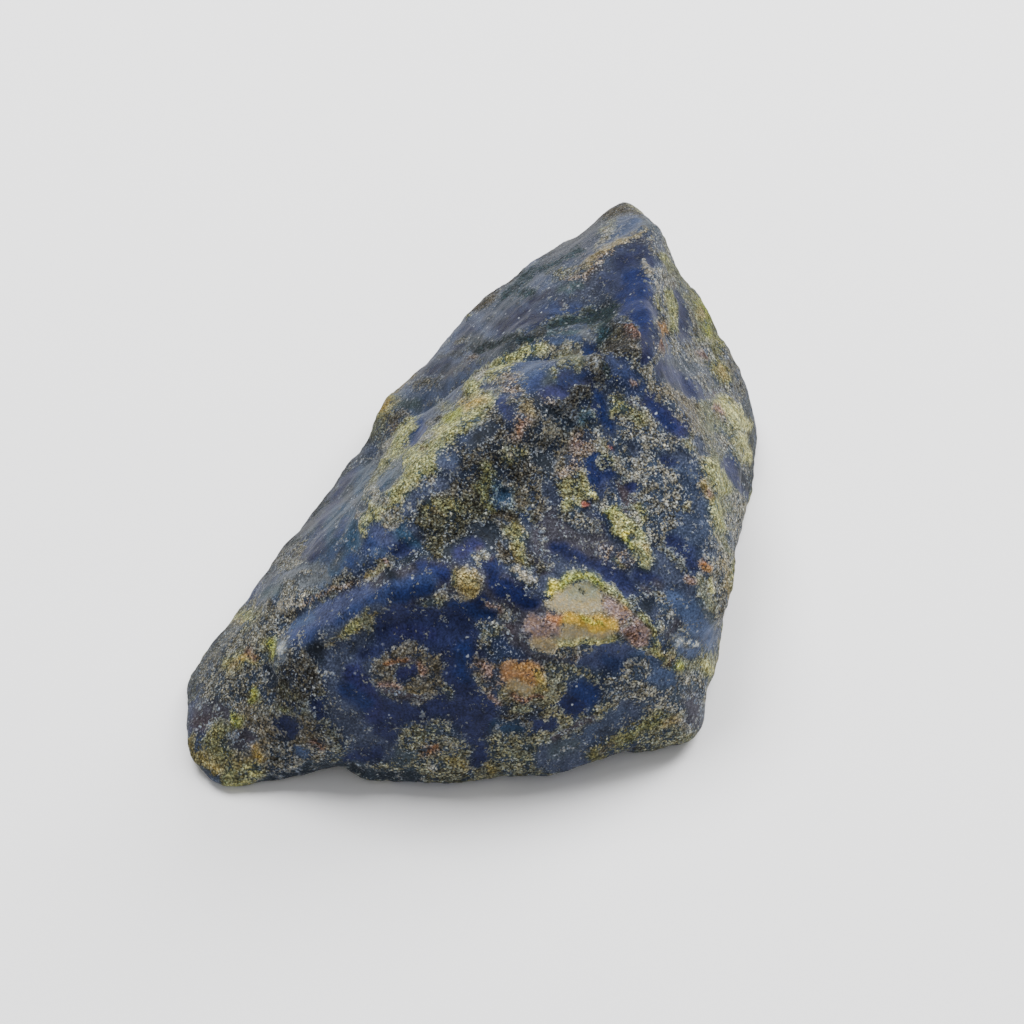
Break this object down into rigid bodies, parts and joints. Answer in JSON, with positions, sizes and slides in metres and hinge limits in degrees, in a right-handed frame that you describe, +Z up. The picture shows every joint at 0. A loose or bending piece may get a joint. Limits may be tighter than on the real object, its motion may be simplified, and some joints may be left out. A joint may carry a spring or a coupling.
{
  "type": "rough lapis lazuli stone",
  "caption": "Wedge-shaped piece of rough lapis lazuli: a ridged crest, a steep broken gable, a blunt nose, and blue rock under patchy yellow and grey crust.",
  "frame": {"origin": "middle of the stone's footprint on the surface it rests on", "axes": "+X along the stone from the blunt nose to the far tip, +Y towards the sloping left flank, +Z up from the flat underside"},
  "size_m": [0.0581, 0.0361, 0.0209],
  "materials": {
    "lapis": null
  },
  "bodies": {
    "root": {"lapis_stone": "lapis"}
  },
  "joints": []
}
